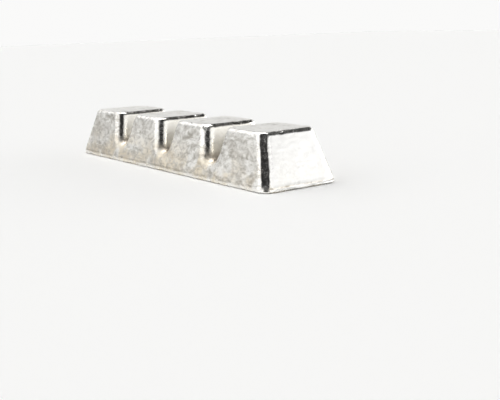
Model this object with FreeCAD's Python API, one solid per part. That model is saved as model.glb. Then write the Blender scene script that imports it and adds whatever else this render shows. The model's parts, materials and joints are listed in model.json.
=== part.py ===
"""One cast metal ingot: a long drafted bar with four lobes, parted by three breaking notches.

The bar is cast upside down in an open mould. It lies here on its wide face, which was the free
surface of the melt, with the lobes up. Everything above the thin rim at the base leans inwards,
so that the casting leaves its mould.

Frame: millimetres, +Z up, +X along the bar. The origin is the middle of the base.
"""

import FreeCAD, Part
import math
import os

# Overall size, over the rim at the base.
LENGTH = 348.0
WIDTH = 85.0
HEIGHT = 50.0

# The rim: a short land where the melt met the lip of the mould, with a rounded lower edge.
RIM_HEIGHT = 3.6
RIM_STEP = 0.7  # how far the rim stands out past the foot of the body
RIM_EDGE_RADIUS = 1.6

# Draft of the body: how far the crown is set back from the rim, at each end and each side.
END_SETBACK = 17.5
SIDE_SETBACK = 12.3

# Plan radius of the upright corners, at the rim and at the crown.
CORNER_RADIUS_BASE = 11.0
CORNER_RADIUS_CROWN = 9.5

# Breaking notches: drafted walls that run into a round floor.
NOTCH_COUNT = 3
NOTCH_PITCH = 84.5
NOTCH_FLOOR_HEIGHT = 17.5
NOTCH_FLOOR_RADIUS = 7.0
NOTCH_WALL_DRAFT_DEG = 16.0

# Rounding where a notch breaks out through a side face, and round the crown of each lobe.
NOTCH_SIDE_RADIUS = 11.0
CROWN_EDGE_RADIUS = 5.2

CUTTER_OVERRUN = 10.0  # how far the notch cutter passes the body on every open side
SAME_HEIGHT = 1e-4     # how near two levels are before they count as one


def rounded_rectangle(length, width, radius, z):
    """A closed wire in a level plane, centred on the origin, with tangent corner arcs."""
    x = length / 2
    y = width / 2
    arc_inset = radius * (1 - math.sqrt(0.5))
    edges = []
    for side_x, side_y, starts_on_end in ((1, -1, False), (1, 1, True), (-1, 1, False), (-1, -1, True)):
        on_side = FreeCAD.Vector(side_x * (x - radius), side_y * y, z)
        on_end = FreeCAD.Vector(side_x * x, side_y * (y - radius), z)
        middle = FreeCAD.Vector(side_x * (x - arc_inset), side_y * (y - arc_inset), z)
        first, last = (on_end, on_side) if starts_on_end else (on_side, on_end)
        if edges:
            edges.append(Part.LineSegment(edges[-1].lastVertex(True).Point, first).toShape())
        edges.append(Part.Arc(first, middle, last).toShape())
    start = edges[0].firstVertex(True).Point
    end = edges[-1].lastVertex(True).Point
    edges.append(Part.LineSegment(end, start).toShape())
    return Part.Wire(edges)


def make_rim():
    """The land at the base, with its lower edge rounded by the skin of the melt."""
    outline = rounded_rectangle(LENGTH, WIDTH, CORNER_RADIUS_BASE, 0)
    rim = Part.Face(outline).extrude(FreeCAD.Vector(0, 0, RIM_HEIGHT))
    lower_edges = [edge for edge in rim.Edges if edge.BoundBox.ZMax < SAME_HEIGHT]
    return rim.makeFillet(RIM_EDGE_RADIUS, lower_edges)


def make_body():
    """The drafted block above the rim, before it is notched."""
    foot = rounded_rectangle(
        LENGTH - 2 * RIM_STEP, WIDTH - 2 * RIM_STEP, CORNER_RADIUS_BASE - RIM_STEP, RIM_HEIGHT
    )
    crown = rounded_rectangle(
        LENGTH - 2 * END_SETBACK, WIDTH - 2 * SIDE_SETBACK, CORNER_RADIUS_CROWN, HEIGHT
    )
    return Part.makeLoft([foot, crown], True, True)


def notch_section():
    """The closed outline of the space inside one notch, in the plane y = 0, centred on x = 0."""
    draft = math.radians(NOTCH_WALL_DRAFT_DEG)
    tangent_x = NOTCH_FLOOR_RADIUS * math.cos(draft)
    tangent_z = NOTCH_FLOOR_HEIGHT + NOTCH_FLOOR_RADIUS * (1 - math.sin(draft))
    mouth_z = HEIGHT + CUTTER_OVERRUN
    mouth_x = tangent_x + (mouth_z - tangent_z) * math.tan(draft)
    left_mouth = FreeCAD.Vector(-mouth_x, 0, mouth_z)
    left_tangent = FreeCAD.Vector(-tangent_x, 0, tangent_z)
    floor = FreeCAD.Vector(0, 0, NOTCH_FLOOR_HEIGHT)
    right_tangent = FreeCAD.Vector(tangent_x, 0, tangent_z)
    right_mouth = FreeCAD.Vector(mouth_x, 0, mouth_z)
    return Part.Wire([
        Part.LineSegment(left_mouth, left_tangent).toShape(),
        Part.Arc(left_tangent, floor, right_tangent).toShape(),
        Part.LineSegment(right_tangent, right_mouth).toShape(),
        Part.LineSegment(right_mouth, left_mouth).toShape(),
    ])


def make_notch_cutter(x):
    """A bar across the whole body at x, with the section of one notch."""
    reach = WIDTH / 2 + CUTTER_OVERRUN
    section = Part.Face(notch_section())
    section.translate(FreeCAD.Vector(x, -reach, 0))
    return section.extrude(FreeCAD.Vector(0, 2 * reach, 0))


def notch_positions():
    """The middle of each notch along the bar, spread evenly about the origin."""
    first = -NOTCH_PITCH * (NOTCH_COUNT - 1) / 2
    return [first + index * NOTCH_PITCH for index in range(NOTCH_COUNT)]


def is_notch_side_edge(edge):
    """True for an edge where a wall or floor of a notch meets a side face of the body."""
    box = edge.BoundBox
    notch_reach = NOTCH_FLOOR_RADIUS + HEIGHT * math.tan(math.radians(NOTCH_WALL_DRAFT_DEG))
    in_a_notch = any(
        x - notch_reach < box.XMin and box.XMax < x + notch_reach for x in notch_positions()
    )
    on_one_side = box.YMin * box.YMax > 0
    above_the_rim = box.ZMin > RIM_HEIGHT + SAME_HEIGHT
    return in_a_notch and on_one_side and above_the_rim


def is_crown_edge(edge):
    """True for an edge of the level top of a lobe."""
    return edge.BoundBox.ZMin > HEIGHT - SAME_HEIGHT


def make_ingot():
    """The notched body with its edges rounded, standing on the rim as one solid."""
    body = make_body()
    for x in notch_positions():
        body = body.cut(make_notch_cutter(x))
    body = body.makeFillet(NOTCH_SIDE_RADIUS, [edge for edge in body.Edges if is_notch_side_edge(edge)])
    body = body.makeFillet(CROWN_EDGE_RADIUS, [edge for edge in body.Edges if is_crown_edge(edge)])
    return body.fuse(make_rim()).removeSplitter()


os.makedirs("parts", exist_ok=True)
ingot = make_ingot()
if not ingot.isValid() or len(ingot.Solids) != 1:
    raise RuntimeError("the ingot isn't one valid solid")
ingot.Solids[0].exportStep("parts/ingot.step")
print("ingot: volume", round(ingot.Volume), "mm3, area", round(ingot.Area), "mm2")
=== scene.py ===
"""The finish of one cast metal ingot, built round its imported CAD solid.

The CAD solid is remeshed finely, and its skin is given what casting leaves on it: sink, ripples,
laps, a ragged rim, nicked edges and crystal grain. All lengths are in metres, in the frame of the
CAD model: +X along the bar, +Z up, with the origin in the middle of the base.
"""

import json
import math

import bpy
import numpy as np
from mathutils import Matrix, Vector


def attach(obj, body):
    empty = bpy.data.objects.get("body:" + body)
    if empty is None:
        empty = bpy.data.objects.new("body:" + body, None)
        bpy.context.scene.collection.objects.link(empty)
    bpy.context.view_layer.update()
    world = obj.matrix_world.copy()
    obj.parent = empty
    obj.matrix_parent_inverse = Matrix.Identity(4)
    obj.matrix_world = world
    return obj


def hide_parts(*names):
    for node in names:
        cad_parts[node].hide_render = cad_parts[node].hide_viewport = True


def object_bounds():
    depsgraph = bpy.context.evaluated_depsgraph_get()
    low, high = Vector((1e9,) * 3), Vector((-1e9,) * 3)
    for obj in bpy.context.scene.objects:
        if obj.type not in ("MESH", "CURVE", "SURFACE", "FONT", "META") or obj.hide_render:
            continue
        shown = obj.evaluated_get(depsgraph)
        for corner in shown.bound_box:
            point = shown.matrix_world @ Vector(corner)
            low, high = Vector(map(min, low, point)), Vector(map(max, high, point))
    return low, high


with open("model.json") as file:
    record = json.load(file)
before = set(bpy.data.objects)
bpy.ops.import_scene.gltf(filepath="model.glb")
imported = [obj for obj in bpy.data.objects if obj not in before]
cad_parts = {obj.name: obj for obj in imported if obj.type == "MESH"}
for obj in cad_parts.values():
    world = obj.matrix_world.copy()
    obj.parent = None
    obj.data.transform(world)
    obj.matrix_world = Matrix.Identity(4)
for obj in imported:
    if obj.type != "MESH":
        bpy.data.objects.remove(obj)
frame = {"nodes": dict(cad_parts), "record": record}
CAD_LOW, CAD_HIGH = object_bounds()

MM = 0.001
SEED = 73
NODE = "ingot"

# The grain of the mesh. This keeps the piece under 200,000 triangles.
VOXEL = 1.08 * MM

# The bar's own sizes, read from the frame.
LENGTH = CAD_HIGH.x - CAD_LOW.x
WIDTH = CAD_HIGH.y - CAD_LOW.y
HEIGHT = CAD_HIGH.z - CAD_LOW.z
NOTCH_BOXES = [opening["box_m"] for opening in frame["record"]["physics"]["openings"]]
NOTCH_CENTRES = sorted({round((low[0] + high[0]) / 2, 5) for low, high in NOTCH_BOXES})
NOTCH_BOX_BOTTOM = min(low[2] for low, high in NOTCH_BOXES)
RIM_HEIGHT = 3.6 * MM
SIDE_SLOPE = 0.25  # how far a side face leans in for each unit of height

# Smoothing rounds on the mesh, and the half height of the crease above the rim that wear fills in:
# not at all past the reach, and fully within the core.
EDGE_SINK_ROUNDS = 12
EDGE_BLUR_ROUNDS = 3
CREASE_ROUNDS = 10
CREASE_REACH = 3.2 * MM
CREASE_CORE = 1.2 * MM

# The flats on the upright corners: the radius they are cut from, and half the turn they take.
FLAT_RADIUS = 10.5 * MM
FLAT_HALF_ANGLE_DEG = 18.0
FLAT_REACH = 34 * MM  # how far from the end of the bar the upright corners are looked for

# Depths of what the casting leaves on the skin.
MEAN_SINK = 0.20 * MM
SWELL_DEPTH = 0.20 * MM
RIPPLE_DEPTH = 0.10 * MM
GRAIN_MM = 0.03
SIDE_GRAIN_MM = 0.05
CROWN_POLISH_MM = 0.015
RUN_DEPTH = 0.035 * MM
LAP_DEPTH = 0.30 * MM
PIT_DEPTH = 0.30 * MM
NICK_DEPTH = 0.45 * MM
CROWN_SINK = 0.18 * MM
BASE_SINK = 0.5 * MM
RIB_DEPTH = 0.5 * MM
RIM_SINK = 0.40 * MM
RIM_RAGGEDNESS = 0.85 * MM

# Each lap: its height as a share of the bar's, and how far its seeds lie from SEED.
LAPS = ((0.16, 50), (0.30, 53), (0.47, 56))
LAP_WANDER = 5 * MM
LAP_HALF_WIDTH = 0.9 * MM

# Colours of the metal, of what lies on it, and of painted light and shade, as linear RGBA.
DULL_METAL = (0.44, 0.415, 0.37, 1)
BRIGHT_METAL = (0.91, 0.90, 0.87, 1)
# Painted highlight: the near-white colour that the end faces are mixed towards, as if lit.
PAINTED_END_LIGHT = (0.89, 0.89, 0.885, 1)
DULL_OXIDE = (0.45, 0.385, 0.295, 1)
BRIGHT_OXIDE = (0.82, 0.755, 0.63, 1)
# Painted light: the pale cream that the walls inside the notches are lightened towards.
NOTCH_PAINTED_LIGHT = (0.93, 0.905, 0.84, 1)
# Painted shade: the dark brown that the notch floors are darkened towards.
PAINTED_NOTCH_FLOOR_SHADE = (0.32, 0.265, 0.20, 1)

# Sizes of the grain in the metal, from wide patches to fine bumps.
GRAININESS_SIZE = 38 * MM
DRIFT_SIZE = 30 * MM
PATCH_SIZE = 26 * MM
FLOW_SIZE = 11 * MM
MOTTLE_SIZE = 5.5 * MM
BUMP_SIZE = 2.2 * MM
SPECKLE_SIZE = 1.25 * MM
FINE_BUMP_SIZE = 0.7 * MM
GRAIN_STRETCH = (0.62, 1, 1)  # below 1 makes the grain longer that way
WRINKLES = 80.0  # waves over the whole range of the drift noise
BUMP_HEIGHT = 0.4 * MM

FLOOR_SIZE = 12.0
FLOOR_COLOUR = (0.95, 0.95, 0.945, 1)

# The camera stands off the +X end, in front of the -Y side.
CAMERA_PLACE = (0.7372, -0.4673, 0.1424)
CAMERA_AZIMUTH_DEG = 53.97
CAMERA_ELEVATION_DEG = 11.69
CAMERA_ROLL_DEG = -1.66
CAMERA_LENS_MM = 62.22
CAMERA_SENSOR_MM = 36.0
CAMERA_CLIP_START = 0.01


# ---------------------------------------------------------------- noise on arrays of points


def lattice_noise(points, size, seed):
    """Smooth random values from -1 to 1 at each point, with features of the given size in metres.

    size is one length, or three for a grain that is longer one way than another.
    """
    scaled = points / np.asarray(size, float) + 1000.0 + 17.3 * seed
    cell = np.floor(scaled).astype(np.int64)
    part = scaled - cell
    blend = part * part * part * (part * (part * 6 - 15) + 10)
    table = np.random.RandomState(seed).uniform(-1, 1, 4096)
    total = np.zeros(len(points))
    for corner in range(8):
        step = np.array([corner & 1, corner >> 1 & 1, corner >> 2 & 1])
        key = ((cell + step) * np.array([73856093, 19349663, 83492791])).T
        value = table[(key[0] ^ key[1] ^ key[2]) & 4095]
        weight = np.where(step, blend, 1 - blend).prod(axis=1)
        total += weight * value
    return total


def fractal_noise(points, size, seed, octaves=3, gain=0.55):
    """Several layers of lattice noise, each half the size of the one before."""
    size = np.asarray(size, float)
    total = np.zeros(len(points))
    reach = 0.0
    for octave in range(octaves):
        total += gain**octave * lattice_noise(points, size / 2**octave, seed + octave)
        reach += gain**octave
    return total / reach


def smooth_step(values, start, end):
    """0 below start, 1 above end, and a smooth rise between. start may be above end."""
    part = np.clip((values - start) / (end - start), 0, 1)
    return part * part * (3 - 2 * part)


# ---------------------------------------------------------------- the mesh of the ingot


def remeshed(node, voxel):
    """A fine even mesh of a CAD node, as a new mesh."""
    probe = bpy.data.objects.new("probe", frame["nodes"][node].data.copy())
    bpy.context.scene.collection.objects.link(probe)
    modifier = probe.modifiers.new("remesh", "REMESH")
    modifier.mode = "VOXEL"
    modifier.voxel_size = voxel
    depsgraph = bpy.context.evaluated_depsgraph_get()
    mesh = bpy.data.meshes.new_from_object(probe.evaluated_get(depsgraph))
    bpy.data.objects.remove(probe)
    return mesh


def vertex_array(mesh):
    """The places of the vertices, one row each."""
    points = np.empty(len(mesh.vertices) * 3)
    mesh.vertices.foreach_get("co", points)
    return points.reshape(-1, 3)


def normal_array(mesh):
    """The unit normals of the vertices, one row each."""
    normals = np.empty(len(mesh.vertices) * 3, np.float32)
    mesh.vertex_normals.foreach_get("vector", normals)
    return normals.reshape(-1, 3).astype(float)


class Neighbours:
    """Averages a value of each vertex over the vertices that it shares an edge with."""

    def __init__(self, mesh):
        ends = np.empty(len(mesh.edges) * 2, np.int64)
        mesh.edges.foreach_get("vertices", ends)
        self.first, self.second = ends.reshape(-1, 2).T
        self.count = np.bincount(ends, minlength=len(mesh.vertices))

    def mean(self, values):
        if values.ndim == 2:
            return np.stack([self.mean(column) for column in values.T], axis=1)
        total = np.bincount(self.first, values[self.second], len(self.count))
        total += np.bincount(self.second, values[self.first], len(self.count))
        return total / self.count

    def smooth(self, values, rounds):
        for _ in range(rounds):
            values = self.mean(values)
        return values


def edge_measure(points, normals, neighbours):
    """How far smoothing sinks each point: 0 on flats, and more the tighter an edge is rounded."""
    sunk = points - neighbours.smooth(points, EDGE_SINK_ROUNDS)
    return neighbours.smooth((sunk * normals).sum(axis=1), EDGE_BLUR_ROUNDS)


def notch_offset(points):
    """How far each point is along the bar from the middle of the nearest notch."""
    return np.min([np.abs(points[:, 0] - centre) for centre in NOTCH_CENTRES], axis=0)


def side_inset(points):
    """How far each point is inside the nearer side face."""
    return WIDTH / 2 - SIDE_SLOPE * points[:, 2] - np.abs(points[:, 1])


def notch_measure(points):
    """1 at the bottom of the nearest notch, falling off to 0 a little way round it."""
    distance = np.hypot(notch_offset(points), points[:, 2] - NOTCH_BOX_BOTTOM)
    return smooth_step(distance, 34 * MM, 6 * MM)


def hollow_measure(points, normals):
    """1 on the walls and floor inside a notch, falling off to 0 at its mouths and on the crowns."""
    inside = smooth_step(notch_offset(points), 17 * MM, 14.5 * MM)
    inside = inside * smooth_step(normals[:, 2], 0.95, 0.6)
    above_base = points[:, 2] > NOTCH_BOX_BOTTOM - 12 * MM
    return inside * smooth_step(side_inset(points), 3 * MM, 8 * MM) * above_base


def notch_floor_measure(points):
    """1 on the round floor of a notch, where painted shade darkens it, but not at its mouths."""
    inside = (notch_offset(points) < 10 * MM) * smooth_step(side_inset(points), 2 * MM, 8 * MM)
    return inside * smooth_step(points[:, 2], 27 * MM, 20 * MM)


def skin_depth(points, normals, edge):
    """How far each point of the skin stands proud of the CAD surface. Mostly it lies inside it."""
    x, y, z = points.T
    up = normals[:, 2]
    side = smooth_step(np.abs(normals[:, 1]), 0.6, 0.9)
    end = smooth_step(np.abs(normals[:, 0]), 0.6, 0.9)
    crown = smooth_step(up, 0.8, 0.97) * (z > 0.8 * HEIGHT)
    base = smooth_step(up, -0.8, -0.97)

    depth = -MEAN_SINK + SWELL_DEPTH * fractal_noise(points, 38 * MM, SEED, 2)
    depth += RIPPLE_DEPTH * fractal_noise(points, 9 * MM, SEED + 10, 3)
    grain = fractal_noise(points, (4.0 * MM, 2.6 * MM, 2.6 * MM), SEED + 20, 2)
    rough = smooth_step(fractal_noise(points, 30 * MM, SEED + 25, 2), -0.3, 0.4)
    depth += grain * (GRAIN_MM + SIDE_GRAIN_MM * side * rough - CROWN_POLISH_MM * crown) * MM

    # Runs of metal down the sides, and level ripples where the melt rose against the ends.
    runs = fractal_noise(points, (2.4 * MM, 6 * MM, 16 * MM), SEED + 30, 2)
    ripples = fractal_noise(points, (20 * MM, 14 * MM, 1.9 * MM), SEED + 40, 2)
    depth += side * RUN_DEPTH * runs + end * RUN_DEPTH * ripples

    # Shallow laps: thin wavy lines where one tongue of metal chilled before the next reached it.
    for level, seed in LAPS:
        wander = lattice_noise(points * (1, 1, 0.2), 34 * MM, SEED + seed)
        line = level * HEIGHT + LAP_WANDER * wander
        broken = smooth_step(lattice_noise(points, 24 * MM, SEED + seed + 1), -0.05, 0.35)
        depth -= LAP_DEPTH * broken * np.exp(-(((z - line) / LAP_HALF_WIDTH) ** 2)) * side

    # The upright corners are cast a little flat, as if the mould was dressed with a straight file.
    turned = np.degrees(np.arctan2(np.abs(normals[:, 0]), np.abs(normals[:, 1]))) - 45
    wander = fractal_noise(points, 6 * MM, SEED + 65, 3)
    half = np.radians(FLAT_HALF_ANGLE_DEG * (1 + 0.35 * wander))
    chord = 1 - np.cos(half) / np.cos(np.clip(np.radians(turned), -half, half))
    at_corner = (np.abs(x) > LENGTH / 2 - FLAT_REACH) * smooth_step(up, 0.75, 0.45)
    depth -= FLAT_RADIUS * chord * at_corner * smooth_step(z, 3 * MM, 7 * MM)

    # Gas pits, and nicks along the edges.
    pits = smooth_step(lattice_noise(points, 3.4 * MM, SEED + 60), 0.62, 0.85)
    depth -= PIT_DEPTH * pits * side
    nicks = smooth_step(lattice_noise(points, 5.5 * MM, SEED + 70), 0.45, 0.8)
    depth -= NICK_DEPTH * nicks * smooth_step(edge, 0.12 * MM, 0.35 * MM)

    # The crown sinks a little between its edges as the lobe shrinks.
    shrunk = smooth_step(lattice_noise(points, 26 * MM, SEED + 80), -0.3, 0.7)
    depth -= CROWN_SINK * crown * shrunk

    # The free surface of the melt: sunk in the middle, with crystal ribs.
    inset = np.minimum(LENGTH / 2 - np.abs(x), WIDTH / 2 - np.abs(y))
    ribs = np.abs(fractal_noise(points, (9 * MM, 4 * MM, 9 * MM), SEED + 90, 3))
    depth -= base * smooth_step(inset, 3 * MM, 14 * MM) * (BASE_SINK + RIB_DEPTH * ribs)

    # The rim is ragged, because the skin of the melt froze wherever it touched the mould.
    rim = smooth_step(z, 5.2 * MM, 2.2 * MM) * (1 - base)
    ragged = fractal_noise(points * (1, 1, 0.4), 13 * MM, SEED + 100, 3)
    depth -= rim * (RIM_SINK + RIM_RAGGEDNESS * np.maximum(ragged, -0.4))
    return depth


def set_attribute(mesh, name, values):
    """Stores a share from 0 to 1 for each vertex, for the material to read."""
    attribute = mesh.attributes.new(name, "FLOAT", "POINT")
    attribute.data.foreach_set("value", np.clip(values, 0, 1).astype(np.float32))


def mark_skin(mesh, points, normals, edge):
    """Stores where the skin is worn, stained or flat, and where painted light and shade go, from
    its CAD-near shape.
    """
    z, up = points[:, 2], normals[:, 2]
    end_face = smooth_step(np.abs(normals[:, 0]), 0.8, 0.93)
    near_end = np.abs(points[:, 0]) > LENGTH / 2 - 24 * MM
    low = smooth_step(z, 0.8 * HEIGHT, 0.1 * HEIGHT)
    patches = 0.5 + 0.5 * fractal_noise(points, 18 * MM, SEED + 110, 3)
    stained = 0.7 * notch_measure(points) + 0.9 * low
    rise = z + 0.5 * MM * fractal_noise(points, 11 * MM, SEED + 120, 3)
    broken = smooth_step(patches, 0.3, 0.6)

    set_attribute(mesh, "edge", smooth_step(edge, 0.06 * MM, 0.22 * MM))
    set_attribute(mesh, "stain", stained * smooth_step(patches, 0.32, 0.60))
    # Where painted light lightens the walls and floor inside the notches.
    set_attribute(mesh, "notch_painted_light", hollow_measure(points, normals))
    # Where painted shade darkens the upward-facing floor of each notch.
    set_attribute(mesh, "notch_floor_shade", notch_floor_measure(points) * (up > 0))
    # Where painted highlight brightens the lip along the base.
    set_attribute(mesh, "lip_highlight", smooth_step(rise, RIM_HEIGHT, 2.8 * MM))
    # Where painted shade darkens the crease just above the rim.
    set_attribute(mesh, "crease_shade", broken * smooth_step(np.abs(rise - 4.3 * MM), 1.2 * MM, 0.3 * MM))
    # end: the end faces, which the material whitens with painted highlight.
    set_attribute(mesh, "end", end_face * near_end)
    # crown: the upward faces, which the material lightens with painted highlight.
    set_attribute(mesh, "crown", smooth_step(up, 0.75, 0.97))
    set_attribute(mesh, "level", smooth_step(np.abs(up), 0.94, 0.985))


def make_ingot():
    """The cast bar, in place of its CAD node."""
    mesh = remeshed(NODE, VOXEL)
    mesh.name = "cast_ingot"
    points = vertex_array(mesh)
    normals = normal_array(mesh)
    neighbours = Neighbours(mesh)
    edge = edge_measure(points, normals, neighbours)

    # The mould wears round where the rim meets the draft, so the crease above the rim is filled in.
    crease = smooth_step(np.abs(points[:, 2] - RIM_HEIGHT), CREASE_REACH, CREASE_CORE)[:, None]
    worn = points + crease * (neighbours.smooth(points, CREASE_ROUNDS) - points)
    moved = worn + normals * skin_depth(points, normals, edge)[:, None]
    moved = np.clip(moved, np.array(CAD_LOW), np.array(CAD_HIGH))
    mesh.vertices.foreach_set("co", moved.ravel())
    mark_skin(mesh, points, normals, edge)

    for polygon in mesh.polygons:
        polygon.use_smooth = True
    mesh.update()
    ingot = bpy.data.objects.new("cast_ingot", mesh)
    bpy.context.scene.collection.objects.link(ingot)
    mesh.materials.clear()
    mesh.materials.append(cast_metal())
    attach(ingot, "root")
    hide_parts(NODE)


# ---------------------------------------------------------------- materials


class Nodes:
    """Short calls for making and joining the nodes of one tree."""

    def __init__(self, tree):
        self.tree = tree
        tree.nodes.clear()

    def add(self, kind, inputs=(), **settings):
        """A new node. An input is set to a value, or joined to another node's socket."""
        node = self.tree.nodes.new(kind)
        for name, value in settings.items():
            setattr(node, name, value)
        for name, value in dict(inputs).items():
            if isinstance(value, bpy.types.NodeSocket):
                self.tree.links.new(value, node.inputs[name])
            else:
                node.inputs[name].default_value = value
        return node

    def math(self, operation, first, second=0.0, clamp=False):
        node = self.add(
            "ShaderNodeMath", {0: first, 1: second}, operation=operation, use_clamp=clamp
        )
        return node.outputs[0]

    def ramp(self, value, start, end, low=0.0, high=1.0):
        """value mapped from start..end to low..high with soft shoulders."""
        node = self.add(
            "ShaderNodeMapRange",
            {0: value, 1: start, 2: end, 3: low, 4: high},
            interpolation_type="SMOOTHSTEP",
        )
        return node.outputs[0]

    def mix(self, share, first, second):
        """first at share 0 and second at share 1. Inputs 6 and 7 are the node's two colours."""
        node = self.add("ShaderNodeMix", {0: share, 6: first, 7: second}, data_type="RGBA")
        return node.outputs[2]

    def noise(self, place, size, detail=2.0, roughness=0.5, distortion=0.0):
        inputs = {
            "Vector": place,
            "Scale": 1 / size,
            "Detail": detail,
            "Roughness": roughness,
            "Distortion": distortion,
        }
        return self.add("ShaderNodeTexNoise", inputs).outputs["Fac"]

    def attribute(self, name):
        return self.add("ShaderNodeAttribute", attribute_name=name).outputs["Fac"]


def cast_metal():
    """Silver-white cast metal: crystal mottle, warm oxide in the hollows, rubbed edges, painted
    light and shade.
    """
    material = bpy.data.materials.new("cast_metal")
    material.use_nodes = True
    n = Nodes(material.node_tree)
    place = n.add("ShaderNodeTexCoord").outputs["Object"]
    edge = n.attribute("edge")
    stain = n.attribute("stain")
    notch_painted_light = n.attribute("notch_painted_light")
    crown = n.attribute("crown")
    end = n.attribute("end")
    level = n.attribute("level")
    lip_highlight = n.attribute("lip_highlight")
    notch_floor_shade = n.attribute("notch_floor_shade")
    crease_shade = n.attribute("crease_shade")

    # The grain runs a little longer along the bar than up it.
    place = n.add("ShaderNodeMapping", {"Vector": place, "Scale": GRAIN_STRETCH}).outputs[0]

    # One share from 0, dull, to 1, bright, built from grain of four sizes.
    patches = n.noise(place, PATCH_SIZE, 3.0)
    flow = n.noise(place, FLOW_SIZE, 4.0, 0.6, distortion=2.2)
    mottle = n.noise(place, MOTTLE_SIZE, 3.0, 0.55, distortion=0.8)
    speckle = n.noise(place, SPECKLE_SIZE, 2.0, 0.7)
    bright = n.math("ADD", 0.62, n.math("MULTIPLY", 1.3, n.math("SUBTRACT", patches, 0.5)))
    grainy = n.ramp(n.noise(place, GRAININESS_SIZE, 2.0), 0.38, 0.60, 0.45, 1.25)
    grains = (
        (flow, 2.3),
        (mottle, n.math("MULTIPLY", grainy, 1.6)),
        (speckle, n.math("MULTIPLY", grainy, 0.7)),
    )
    for grain, weight in grains:
        bright = n.math("ADD", bright, n.math("MULTIPLY", weight, n.math("SUBTRACT", grain, 0.5)))

    # Thin swirling lines, where the skin wrinkled as the melt ran under it.
    drift = n.noise(place, DRIFT_SIZE, 3.0, 0.55, distortion=0.6)
    wrinkle = n.math("SINE", n.math("MULTIPLY", drift, WRINKLES))
    wrinkle = n.math("MULTIPLY", n.ramp(wrinkle, 0.3, 0.95), n.ramp(patches, 0.40, 0.58))
    bright = n.math("SUBTRACT", bright, n.math("MULTIPLY", wrinkle, 0.22))

    # Painted highlights on the rubbed edges, crowns, ends and lip, and painted shade in the crease
    # above the lip.
    # smooth: rubbed edges (real wear, with painted highlight) and painted highlight on crowns and
    # ends; it also lowers the bump.
    smooth = n.math("MAXIMUM", n.math("MAXIMUM", n.math("MULTIPLY", edge, 0.7), crown), end)
    bright = n.math("ADD", bright, n.math("MULTIPLY", smooth, 0.42))
    # Painted highlight: the end faces are brightened further.
    bright = n.math("ADD", bright, n.math("MULTIPLY", end, 0.2))
    # Painted highlight on the lip along the base.
    bright = n.math("ADD", bright, n.math("MULTIPLY", lip_highlight, 0.4))
    # Painted shade in the crease just above the lip.
    bright = n.math("SUBTRACT", bright, n.math("MULTIPLY", crease_shade, 0.5), clamp=True)

    colour = n.mix(bright, DULL_METAL, BRIGHT_METAL)
    # Painted highlight: the end faces are mixed towards near white.
    colour = n.mix(n.math("MULTIPLY", end, 0.6), colour, PAINTED_END_LIGHT)
    off_end = n.math("SUBTRACT", 1.0, n.math("MULTIPLY", end, 0.85))
    stain = n.math("MULTIPLY", stain, off_end)
    cream = n.math("MULTIPLY", stain, n.ramp(flow, 0.35, 0.6, 0.35, 0.95))
    colour = n.mix(cream, colour, n.mix(bright, DULL_OXIDE, BRIGHT_OXIDE))
    # Painted light: the notch walls are lightened towards a pale cream.
    colour = n.mix(n.math("MULTIPLY", notch_painted_light, 0.75), colour, NOTCH_PAINTED_LIGHT)
    # Painted shade: the notch floors are darkened towards dark brown.
    colour = n.mix(n.math("MULTIPLY", notch_floor_shade, 0.75), colour, PAINTED_NOTCH_FLOOR_SHADE)

    roughness = n.ramp(flow, 0.3, 0.7, 0.30, 0.46)
    polish = n.math("MULTIPLY", n.math("MAXIMUM", edge, crown), 0.18)
    roughness = n.math("SUBTRACT", roughness, polish)
    roughness = n.math("ADD", roughness, n.math("MULTIPLY", stain, 0.06))
    roughness = n.math("ADD", roughness, n.math("MULTIPLY", level, 0.22))
    metallic = n.math("SUBTRACT", 1.0, n.math("MULTIPLY", level, 0.55))

    coarse = n.noise(place, BUMP_SIZE, 5.0, 0.62)
    fine = n.noise(place, FINE_BUMP_SIZE, 3.0, 0.6)
    height = n.math("ADD", coarse, n.math("MULTIPLY", fine, 0.35))
    strength = n.math("MULTIPLY", grainy, n.math("SUBTRACT", 0.5, n.math("MULTIPLY", smooth, 0.32)))
    bump = n.add(
        "ShaderNodeBump", {"Height": height, "Distance": BUMP_HEIGHT, "Strength": strength}
    )

    shader = n.add("ShaderNodeBsdfPrincipled", {
        "Base Color": colour,
        "Roughness": roughness,
        "Normal": bump.outputs[0],
        "Metallic": metallic,
    })
    n.add("ShaderNodeOutputMaterial", {"Surface": shader.outputs[0]})
    return material


# ---------------------------------------------------------------- floor, light and camera


def make_floor():
    """A plain pale floor under the bar, which takes its shadow."""
    bpy.ops.mesh.primitive_plane_add(size=FLOOR_SIZE, location=(0, 0, CAD_LOW.z))
    floor = bpy.context.object
    floor.name = "floor"
    material = bpy.data.materials.new("pale_floor")
    material.use_nodes = True
    n = Nodes(material.node_tree)
    shader = n.add("ShaderNodeBsdfDiffuse", {"Color": FLOOR_COLOUR})
    n.add("ShaderNodeOutputMaterial", {"Surface": shader.outputs[0]})
    floor.data.materials.append(material)


# Soft-edged panels round the studio: azimuth and elevation of the middle, half width, half height
# and softness of the edge, all in degrees, and then the radiance. Azimuth 0 is the -Y side, and 90
# the +X end.
STUDIO_RADIANCE = 0.955
STUDIO_PANELS = {
    "ceiling_left": (-85, 66, 72, 18, 7, 2.5),
    "ceiling_back": (200, 78, 68, 12, 5, 7.0),
    "grey_wall": (-68, 2, 22, 17, 8, 0.66),
    "left_window": (-84, 38, 40, 12, 6, 1.32),
    "softbox_left_front": (-20, 24, 24, 34, 7, 1.30),
    "softbox_right": (112, 18, 32, 24, 7, 1.20),
    "back_window": (168, 4, 34, 15, 8, 2.3),
    "crown_wall": (234, 16, 22, 9, 4, 0.58),
    "dark_bridge": (68, 63, 76, 24, 6, 0.045),
    "dark_behind_camera": (45, 20, 29, 50, 6, 0.035),
    "dark_above_back": (188, 49, 66, 20, 5, 0.035),
}
ZENITH_RADIANCE = 3.9
ZENITH_START_DEG = 78.0
ZENITH_SOFTNESS_DEG = 8.0
WORLD_COLOUR = (1.0, 0.998, 0.992, 1)


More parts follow.
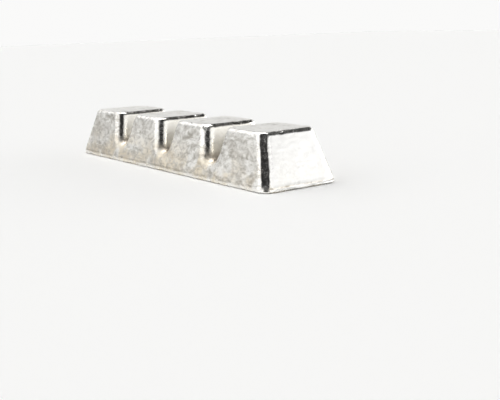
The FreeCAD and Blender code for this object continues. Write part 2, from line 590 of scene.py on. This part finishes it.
def make_studio():
    """World light as a room of plain soft panels, the same for every ray."""
    world = bpy.data.worlds.new("studio")
    bpy.context.scene.world = world
    world.use_nodes = True
    n = Nodes(world.node_tree)
    direction = n.add("ShaderNodeTexCoord").outputs["Generated"]
    height = n.add("ShaderNodeSeparateXYZ", {0: direction}).outputs["Z"]
    elevation = n.math("ARCSINE", height)
    radiance = n.ramp(
        elevation,
        math.radians(ZENITH_START_DEG - ZENITH_SOFTNESS_DEG),
        math.radians(ZENITH_START_DEG + ZENITH_SOFTNESS_DEG),
        STUDIO_RADIANCE,
        ZENITH_RADIANCE,
    )
    for azimuth, middle, half_width, half_height, soft, strength in STUDIO_PANELS.values():
        turned = n.add(
            "ShaderNodeVectorRotate",
            {"Vector": direction, "Angle": -math.radians(azimuth)},
            rotation_type="Z_AXIS",
        )
        parts = n.add("ShaderNodeSeparateXYZ", {0: turned.outputs[0]}).outputs
        towards = n.math("MULTIPLY", parts["Y"], -1.0)
        sideways = n.math("ABSOLUTE", n.math("ARCTAN2", parts["X"], towards))
        upwards = n.math("ABSOLUTE", n.math("SUBTRACT", elevation, math.radians(middle)))
        shares = [
            n.ramp(angle, math.radians(half + soft), math.radians(half - soft))
            for angle, half in ((sideways, half_width), (upwards, half_height))
        ]
        mask = n.math("MULTIPLY", shares[0], shares[1])
        change = n.math("MULTIPLY", mask, n.math("SUBTRACT", strength, radiance))
        radiance = n.math("ADD", radiance, change)
    background = n.add("ShaderNodeBackground", {"Color": WORLD_COLOUR, "Strength": radiance})
    n.add("ShaderNodeOutputWorld", {"Surface": background.outputs[0]})


def make_camera():
    """The camera of the photo, as it was fitted to the corners of the bar."""
    azimuth = math.radians(CAMERA_AZIMUTH_DEG)
    elevation = math.radians(CAMERA_ELEVATION_DEG)
    roll = math.radians(CAMERA_ROLL_DEG)
    back = Vector((
        math.sin(azimuth) * math.cos(elevation),
        -math.cos(azimuth) * math.cos(elevation),
        math.sin(elevation),
    ))
    level = Vector((math.cos(azimuth), math.sin(azimuth), 0))
    upright = back.cross(level)
    right = level * math.cos(roll) + upright * math.sin(roll)
    up = upright * math.cos(roll) - level * math.sin(roll)
    data = bpy.data.cameras.new("camera")
    data.sensor_width = CAMERA_SENSOR_MM
    data.lens = CAMERA_LENS_MM
    data.clip_start = CAMERA_CLIP_START
    camera = bpy.data.objects.new("camera", data)
    turn = Matrix((right, up, back)).transposed().to_4x4()
    camera.matrix_world = Matrix.Translation(CAMERA_PLACE) @ turn
    bpy.context.scene.collection.objects.link(camera)
    bpy.context.scene.camera = camera


make_camera()
make_studio()
make_floor()
make_ingot()
bpy.context.scene.view_settings.view_transform = "Standard"
